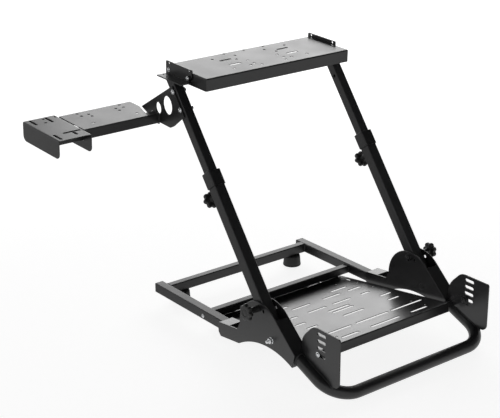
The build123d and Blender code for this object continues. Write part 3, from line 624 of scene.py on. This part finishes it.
def marginProfile():
    flat, fold, sheet = marginPlan["flat"], marginPlan["fold"], marginPlan["sheet"]
    rise = fold - sheet
    top, under = [(0.0, 0.0)], [(0.0, -sheet)]
    for i in range(marginPlan["turns"] + 1):
        a = math.pi / 2 * i / marginPlan["turns"]
        top.append((flat + rise * math.sin(a), rise - rise * math.cos(a)))
        under.append((flat + fold * math.sin(a), rise - fold * math.cos(a)))
    top.append((flat + fold - sheet, marginPlan["lip"]))
    under.append((flat + fold, marginPlan["lip"]))
    return top, under


for where, length in marginPlan["lengths"].items():
    bm = bmesh.new()
    ends = []
    for x in length:
        lines = marginProfile()
        ends.append([[bm.verts.new(marginSpot(x, back, up)) for back, up in line] for line in lines])
    (outA, inA), (outB, inB) = ends
    for i in range(len(outA) - 1):
        bm.faces.new((outA[i], outA[i + 1], outB[i + 1], outB[i]))
        bm.faces.new((inA[i], inB[i], inB[i + 1], inA[i + 1]))
        bm.faces.new((outA[i], inA[i], inA[i + 1], outA[i + 1]))
        bm.faces.new((outB[i], outB[i + 1], inB[i + 1], inB[i]))
    for k in (0, -1):
        bm.faces.new((outA[k], outB[k], inB[k], inA[k]))
    finishPiece("pedalMargin" + where, bm, "sheetCoat", "pedals")

# ends of the pedal plate's front lip, bent forward under the tabs
lipPlan = {
    "x": (213.0, 235.0), "sheet": 1.5, "along": 397.0, "up": (-1.5, -12.5), "round": 0.0003, "roundSteps": 2,
    "web": ((-594.2, 81.0), (-598.0, 70.8), (-610.3, 67.8), (-642.4, 86.1), (-634.0, 88.5)),
}
for side, label in sides:
    x0, x1 = lipPlan["x"]
    high, low = lipPlan["up"]
    front, rear = -lipPlan["along"], -(lipPlan["along"] - lipPlan["sheet"])
    bm = bmesh.new()
    outline = ((x0, high), (x1, high), (x1, low), (x0, low))
    corners = [marginSpot(side * x, front, rise) for x, rise in outline]
    addPrism(bm, corners, marginSpot(0, rear, 0) - marginSpot(0, front, 0))
    web = [spot(side * x1, y, z) for y, z in lipPlan["web"]]
    addPrism(bm, web, Vector((-side * lipPlan["sheet"] / 1000, 0, 0)))
    bmesh.ops.recalc_face_normals(bm, faces=bm.faces)
    bmesh.ops.bevel(bm, geom=bm.edges[:], offset=lipPlan["round"], segments=lipPlan["roundSteps"],
                    affect="EDGES")
    finishPiece(label + "LipEnd", bm, "sheetCoat", "pedals")

# strip welded under the back of the middle crossbar, hemmed at its low edge
stripPlan = {"x": 212.0, "top": 30.4, "low": 21.6, "back": -201.6, "sheet": 1.4, "hem": 0.7, "turns": 8}


def makeHingeStrip():
    back, hem = stripPlan["back"], stripPlan["hem"]
    line = [(back, stripPlan["top"]), (back - stripPlan["sheet"], stripPlan["top"])]
    for i in range(stripPlan["turns"] + 1):
        a = math.pi * (1 + i / stripPlan["turns"])
        line.append((back - hem + hem * math.cos(a), stripPlan["low"] + hem + hem * math.sin(a)))
    bm = bmesh.new()
    ends = [[bm.verts.new(spot(x, y, z)) for y, z in line] for x in (-stripPlan["x"], stripPlan["x"])]
    bridge(bm, *ends)
    for end in ends:
        bm.faces.new(end)
    finishPiece("hingeStrip", bm, "tubeCoat", "base")


makeHingeStrip()

# toe of each gusset: the sheet closed round the hoop leg
toePlan = {
    "outerX": 262.2, "top": (-577.9, 81.2), "low": (-569.8, 47.6), "proud": 0.5, "sheet": 2.0,
    "centre": (242.5, 64.2), "reach": (14.6, 15.7), "steps": 72, "least": 1e-9,
}


def toeSpot(side, x, z, ahead):  # on the sloping front edge of the gusset's cheeks
    (y1, z1), (y0, z0) = toePlan["top"], toePlan["low"]
    return spot(side * x, y0 + (y1 - y0) * (z - z0) / (z1 - z0) - ahead, z)


def toeRing(side, ahead, rim):
    cx, cz = toePlan["centre"]
    ring = []
    for i in range(toePlan["steps"]):
        a = 2 * math.pi * i / toePlan["steps"]
        dx, dz = math.cos(a), math.sin(a)
        x, z = cx + toePlan["reach"][0] * dx, cz + toePlan["reach"][1] * dz
        if rim:
            limit = toePlan["top"][1] - cz if dz > 0 else cz - toePlan["low"][1]
            toX = (toePlan["outerX"] - cx) / max(abs(dx), toePlan["least"])
            toZ = limit / max(abs(dz), toePlan["least"])
            x, z = cx + min(toX, toZ) * dx, cz + min(toX, toZ) * dz
        ring.append(toeSpot(side, x, z, ahead))
    return ring


for side, label in sides:
    bm = bmesh.new()
    near, far = toePlan["proud"], toePlan["proud"] - toePlan["sheet"]
    rings = []
    for ahead, rim in ((near, False), (near, True), (far, True), (far, False)):
        rings.append([bm.verts.new(point) for point in toeRing(side, ahead, rim)])
    for a, b in zip(rings, rings[1:] + rings[:1]):
        bridge(bm, a, b)
    finishPiece(label + "GussetToe", bm, "sheetCoat", "base")

# heel of each slotted plate, which runs back to the gusset's sloping web
heelPlan = {
    "x": (235.5, 238.5),
    "outline": ((-586.95, 75.0), (-579.2, 78.2), (-578.4, 81.6), (-573.0, 86.0), (-573.2, 97.0),
                (-574.6, 108.0), (-577.2, 117.8), (-581.4, 126.6), (-586.95, 134.1)),
}
for side, label in sides:
    bm = bmesh.new()
    near, far = heelPlan["x"]
    outline = [spot(side * near, y, z) for y, z in heelPlan["outline"]]
    addPrism(bm, outline, Vector((side * (far - near) / 1000, 0, 0)))
    finishPiece(label + "PlateHeel", bm, "sheetCoat", "base")
print("margins, lip ends, toes and heels made")

# coated weld beads with the ripple of the pool, thin at both ends
beadPlan = {
    "pitch": 1.1, "sides": 8, "size": 0.82, "ripple": 0.22, "rippleLength": 2.6, "drift": 0.05,
    "driftRate": 0.37, "endSize": 0.45,
}


def weldBead(name, points, radius, body):
    path = [points[0]]
    for a, b in zip(points, points[1:]):
        steps = max(1, int((b - a).length * 1000 / beadPlan["pitch"]))
        path += [a.lerp(b, i / steps) for i in range(1, steps + 1)]
    last = len(path) - 1
    bm = bmesh.new()
    loops = []
    run = 0.0
    for i, p in enumerate(path):
        ahead = (path[min(i + 1, last)] - path[max(i - 1, 0)]).normalized()
        turn = ahead.to_track_quat("Z", "Y").to_matrix()
        if i:
            run += (p - path[i - 1]).length * 1000
        ripple = beadPlan["ripple"] * abs(math.sin(math.pi * run / beadPlan["rippleLength"]))
        swell = beadPlan["size"] + ripple + beadPlan["drift"] * math.sin(run * beadPlan["driftRate"])
        if i in (0, last):
            swell *= beadPlan["endSize"]
        r = radius * swell / 1000
        ring = []
        for k in range(beadPlan["sides"]):
            angle = 2 * math.pi * k / beadPlan["sides"]
            ring.append(bm.verts.new(p + turn @ Vector((r * math.cos(angle), r * math.sin(angle), 0))))
        loops.append(ring)
    for a, b in zip(loops, loops[1:]):
        bridge(bm, a, b)
    bm.faces.new(loops[0])
    bm.faces.new(loops[-1])
    return finishPiece(name, bm, "tubeCoat", body, sharp=False)


hoopLine = {"frontY": -699.548, "radius": 15.0, "slope": 21.4006, "x": 242.5, "bend": 66.5}


def legSpot(x, along, up):  # along a hoop leg from the front bar, and up from its axis
    c, s = cosSin(hoopLine["slope"])
    return spot(x, hoopLine["frontY"] + along * c - up * s, hoopLine["radius"] + along * s + up * c)


# welds by place: points as (y, z) on the rails' inner faces unless named otherwise
weldPlan = {
    "bars": {
        "RearFront": (-38.0, 32.5, 52.5), "RearBack": (-18.0, 32.5, 52.5),
        "MiddleFront": (-220.0, 31.5, 48.5), "MiddleBack": (-200.0, 31.5, 48.5),
    },
    "barTop": ((-218.5, 50), (-201.5, 50)), "barRadius": 2.0,
    "tail": ((-290.6, 34), (-288.6, 52.5)), "tailRadius": 1.3,
    "plateEdges": {"Inner": -7.0, "Outer": -4.0}, "plateRun": range(24, 119, 3), "plateRadius": 1.5,
    "legReach": (15.3, 16.2), "legAhead": 1.2, "legSteps": range(-11, 12), "legTop": 90, "legTurn": 12,
    "legRadius": 1.6,
    "postTops": {"A": -12.5, "B": 12.5}, "postTopBack": (93.0, 119.0), "postTopUp": -24.5,
    "postTopRadius": 1.8,
    "arm": ((1.0, -2.6), (26.0, -2.6), (26.0, -27.0), (1.0, -27.0), (1.0, -2.6)), "armRadius": 1.9,
}


def plateWeldPoints(side, edge):  # foot of the slotted plate on the leg and its bend
    x, bend = hoopLine["x"] + edge, hoopLine["bend"]
    points = []
    for along in weldPlan["plateRun"]:
        off = edge
        if along < bend:
            off = math.hypot(x - hoopLine["x"] + bend, bend - along) - bend
        points.append(legSpot(side * x, along, math.sqrt(hoopLine["radius"] ** 2 - off ** 2)))
    return points


def legWeldPoints(side):  # round the leg, on the gusset's toe
    cx, cz = toePlan["centre"]
    reachX, reachZ = weldPlan["legReach"]
    points = []
    for i in weldPlan["legSteps"]:
        c, s = cosSin(weldPlan["legTop"] + weldPlan["legTurn"] * i)
        points.append(toeSpot(side, cx + reachX * c, cz + reachZ * s, weldPlan["legAhead"]))
    return points


for side, label in sides:
    inner = side * stand["railInnerX"]
    for where, (y, z0, z1) in weldPlan["bars"].items():
        points = [spot(inner, y, z0), spot(inner, y, z1)]
        weldBead(label + where + "Weld", points, weldPlan["barRadius"], "base")
    points = [spot(inner, y, z) for y, z in weldPlan["barTop"]]
    weldBead(label + "MiddleTopWeld", points, weldPlan["barRadius"], "base")
    points = [spot(inner, y, z) for y, z in weldPlan["tail"]]
    weldBead(label + "TailWeld", points, weldPlan["tailRadius"], "base")
    for where, edge in weldPlan["plateEdges"].items():
        weldBead(label + where + "PlateWeld", plateWeldPoints(side, edge), weldPlan["plateRadius"], "base")
    weldBead(label + "LegWeld", legWeldPoints(side), weldPlan["legRadius"], "base")
    for where, beside in weldPlan["postTops"].items():
        x, rise = side * stand["postX"] + beside, weldPlan["postTopUp"]
        points = [deckSpot(x, stand["trayFront"], back, rise) for back in weldPlan["postTopBack"]]
        weldBead(label + "PostTopWeld" + where, points, weldPlan["postTopRadius"], "upper")
points = [deckSpot(stand["shifterFaceX"], stand["shelfFront"], back, rise) for back, rise in weldPlan["arm"]]
weldBead("shifterArmWeld", points, weldPlan["armRadius"], "upper")
print("welds made")


def stageSheet(name, cells, size, finish):
    bm = bmesh.new()
    bmesh.ops.create_grid(bm, x_segments=cells, y_segments=cells, size=size)
    mesh = bpy.data.meshes.new(name)
    bm.to_mesh(mesh)
    bm.free()
    sheet = bpy.data.objects.new(name, mesh)
    bpy.context.scene.collection.objects.link(sheet)
    mesh.materials.append(finish)
    return sheet


# pale floor: the camera sees half plain white, half the lit paper with its shadow, and a small lift,
# and what glossy paint sees of it fades towards the back on the left
floorPlan = {
    "size": 14.0, "cells": 4, "tone": (0.86, 0.86, 0.86, 1), "rough": 0.9, "plainShare": 0.5,
    "lift": {"From Min": 0.7, "From Max": 3.0, "To Min": 0.36, "To Max": 0.5},
    "glossWay": (-0.6, 0.8, 0.0),
    "gloss": {"From Min": 0.0, "From Max": 0.5, "To Min": 0.95, "To Max": 0.40},
}


def makeFloorFinish():
    material, tree, skin = newMaterial("floorPaper")
    setInputs(skin, **{"Base Color": floorPlan["tone"], "Roughness": floorPlan["rough"]})
    link = tree.links.new
    path = addNode(tree, "ShaderNodeLightPath", (-900, 300))
    coord = addNode(tree, "ShaderNodeTexCoord", (-1200, 100))
    plain = addNode(tree, "ShaderNodeMath", (-600, 400), operation="ADD", use_clamp=True)
    seen = addNode(tree, "ShaderNodeMath", (-400, 400), operation="MULTIPLY")
    seen.inputs[1].default_value = floorPlan["plainShare"]
    reach = addNode(tree, "ShaderNodeVectorMath", (-1000, 600), operation="LENGTH")
    pale = addNode(tree, "ShaderNodeMapRange", (-800, 600), interpolation_type="SMOOTHSTEP")
    setInputs(pale, **floorPlan["lift"])
    raised = addNode(tree, "ShaderNodeMath", (-400, 650), operation="MULTIPLY")
    along = addNode(tree, "ShaderNodeVectorMath", (-1000, 100), operation="DOT_PRODUCT")
    along.inputs[1].default_value = floorPlan["glossWay"]
    fade = addNode(tree, "ShaderNodeMapRange", (-800, 100), interpolation_type="SMOOTHSTEP")
    setInputs(fade, **floorPlan["gloss"])
    gloss = addNode(tree, "ShaderNodeMath", (-400, 150), operation="MULTIPLY")
    part = addNode(tree, "ShaderNodeMath", (-150, 300), operation="ADD", use_clamp=True)
    glow = addNode(tree, "ShaderNodeEmission", (-100, -300))
    lift = addNode(tree, "ShaderNodeEmission", (100, 300))
    mix = addNode(tree, "ShaderNodeMixShader", (300, 0))
    both = addNode(tree, "ShaderNodeAddShader", (500, 100))
    link(path.outputs["Is Camera Ray"], plain.inputs[0])
    link(path.outputs["Is Transmission Ray"], plain.inputs[1])
    link(plain.outputs[0], seen.inputs[0])
    link(coord.outputs["Object"], reach.inputs[0])
    link(reach.outputs["Value"], pale.inputs["Value"])
    link(plain.outputs[0], raised.inputs[0])
    link(pale.outputs["Result"], raised.inputs[1])
    link(raised.outputs[0], lift.inputs["Strength"])
    link(coord.outputs["Object"], along.inputs[0])
    link(along.outputs["Value"], fade.inputs["Value"])
    link(path.outputs["Is Glossy Ray"], gloss.inputs[0])
    link(fade.outputs["Result"], gloss.inputs[1])
    link(seen.outputs[0], part.inputs[0])
    link(gloss.outputs[0], part.inputs[1])
    link(part.outputs[0], mix.inputs["Fac"])
    link(skin.outputs[0], mix.inputs[1])
    link(glow.outputs[0], mix.inputs[2])
    link(mix.outputs[0], both.inputs[0])
    link(lift.outputs[0], both.inputs[1])
    link(both.outputs[0], tree.nodes["Material Output"].inputs["Surface"])
    return material


floor = stageSheet("studioFloor", floorPlan["cells"], floorPlan["size"] / 2, makeFloorFinish())

# dark cloths in front on the right and overhead, which the camera looks through
clothPlan = {
    "studioFlag": {"toward": (0.60, -0.60, 0.52), "distance": 4.6, "size": (7.0, 4.6)},
    "studioCeiling": {"toward": (0, 0, 1), "distance": 3.3, "size": (9.0, 9.0)},
}
clothShare = {"tone": (0.10, 0.10, 0.10, 1), "rough": 0.95, "cells": 2, "height": 0.3}


def aimMatrix(look, height):  # out from over the middle of the floor, turned to face it
    toward = Vector(look["toward"]).normalized()
    return axisMatrix(toward * look["distance"] + Vector((0, 0, height)), toward)


def makeClothFinish():
    material, tree, skin = newMaterial("flagCloth")
    setInputs(skin, **{"Base Color": clothShare["tone"], "Roughness": clothShare["rough"]})
    link = tree.links.new
    clear = addNode(tree, "ShaderNodeBsdfTransparent", (0, -300))
    path = addNode(tree, "ShaderNodeLightPath", (-300, 300))
    mix = addNode(tree, "ShaderNodeMixShader", (300, 0))
    link(path.outputs["Is Camera Ray"], mix.inputs["Fac"])
    link(skin.outputs[0], mix.inputs[1])
    link(clear.outputs[0], mix.inputs[2])
    link(mix.outputs[0], tree.nodes["Material Output"].inputs["Surface"])
    return material


clothFinish = makeClothFinish()
for name, look in clothPlan.items():
    cloth = stageSheet(name, clothShare["cells"], 0.5, clothFinish)
    cloth.matrix_world = aimMatrix(look, clothShare["height"]) @ Matrix.Diagonal((*look["size"], 1, 1))

# white world for what the camera, gloss and glass see, and a plain fill for the rest
worldPlan = {"white": (1, 1, 1, 1), "seen": 1.0, "fill": 0.45}


def makeWorld():
    world = bpy.data.worlds.new("studio")
    world.use_nodes = True
    bpy.context.scene.world = world
    tree = world.node_tree
    link = tree.links.new
    path = addNode(tree, "ShaderNodeLightPath", (-700, 200))
    either = addNode(tree, "ShaderNodeMath", (-520, 200), operation="ADD", use_clamp=True)
    white = addNode(tree, "ShaderNodeMath", (-340, 200), operation="ADD", use_clamp=True)
    seen = tree.nodes["Background"]
    setInputs(seen, Color=worldPlan["white"], Strength=worldPlan["seen"])
    fill = addNode(tree, "ShaderNodeBackground", (0, -200))
    setInputs(fill, Color=worldPlan["white"], Strength=worldPlan["fill"])
    blend = addNode(tree, "ShaderNodeMixShader", (250, 0))
    link(path.outputs["Is Camera Ray"], either.inputs[0])
    link(path.outputs["Is Glossy Ray"], either.inputs[1])
    link(either.outputs[0], white.inputs[0])
    link(path.outputs["Is Transmission Ray"], white.inputs[1])
    link(white.outputs[0], blend.inputs["Fac"])
    link(fill.outputs[0], blend.inputs[1])
    link(seen.outputs[0], blend.inputs[2])
    link(blend.outputs[0], tree.nodes["World Output"].inputs["Surface"])


makeWorld()

# one broad soft lamp behind on the right
lampPlan = {
    "toward": (0.714, 0.666, 0.216), "distance": 3.8, "size": (3.25, 1.97), "watts": 51.0, "height": 0.35,
}
lamp = bpy.data.lights.new("backSoft", "AREA")
lamp.shape = "RECTANGLE"
lamp.size, lamp.size_y = lampPlan["size"]
lamp.energy = lampPlan["watts"]
holder = bpy.data.objects.new("backSoft", lamp)
bpy.context.scene.collection.objects.link(holder)
holder.matrix_world = aimMatrix(lampPlan, lampPlan["height"])
print("studio lit")

# camera fitted to the photo: place in mm of the stand, focal length in pixels of the photo's frame
cameraPlan = {
    "place": (-2021.102, -2667.387, 1489.822), "heading": -37.997, "drop": 21.067, "roll": -0.166,
    "focal": 1348.138, "frameWidth": 500, "sensor": 36.0, "clipEnd": 50.0,
}
lens = bpy.data.cameras.new("photoLens")
lens.sensor_fit = "HORIZONTAL"
lens.sensor_width = cameraPlan["sensor"]
lens.lens = cameraPlan["focal"] / cameraPlan["frameWidth"] * cameraPlan["sensor"]
lens.clip_end = cameraPlan["clipEnd"]
camera = bpy.data.objects.new("photoCamera", lens)
bpy.context.scene.collection.objects.link(camera)
camera.matrix_world = (
    Matrix.Translation(spot(*cameraPlan["place"]))
    @ Matrix.Rotation(math.radians(cameraPlan["heading"]), 4, "Z")
    @ Matrix.Rotation(math.radians(90 - cameraPlan["drop"]), 4, "X")
    @ Matrix.Rotation(math.radians(cameraPlan["roll"]), 4, "Z")
)
bpy.context.scene.camera = camera
bpy.context.scene.view_settings.view_transform = "Standard"
print("camera set")
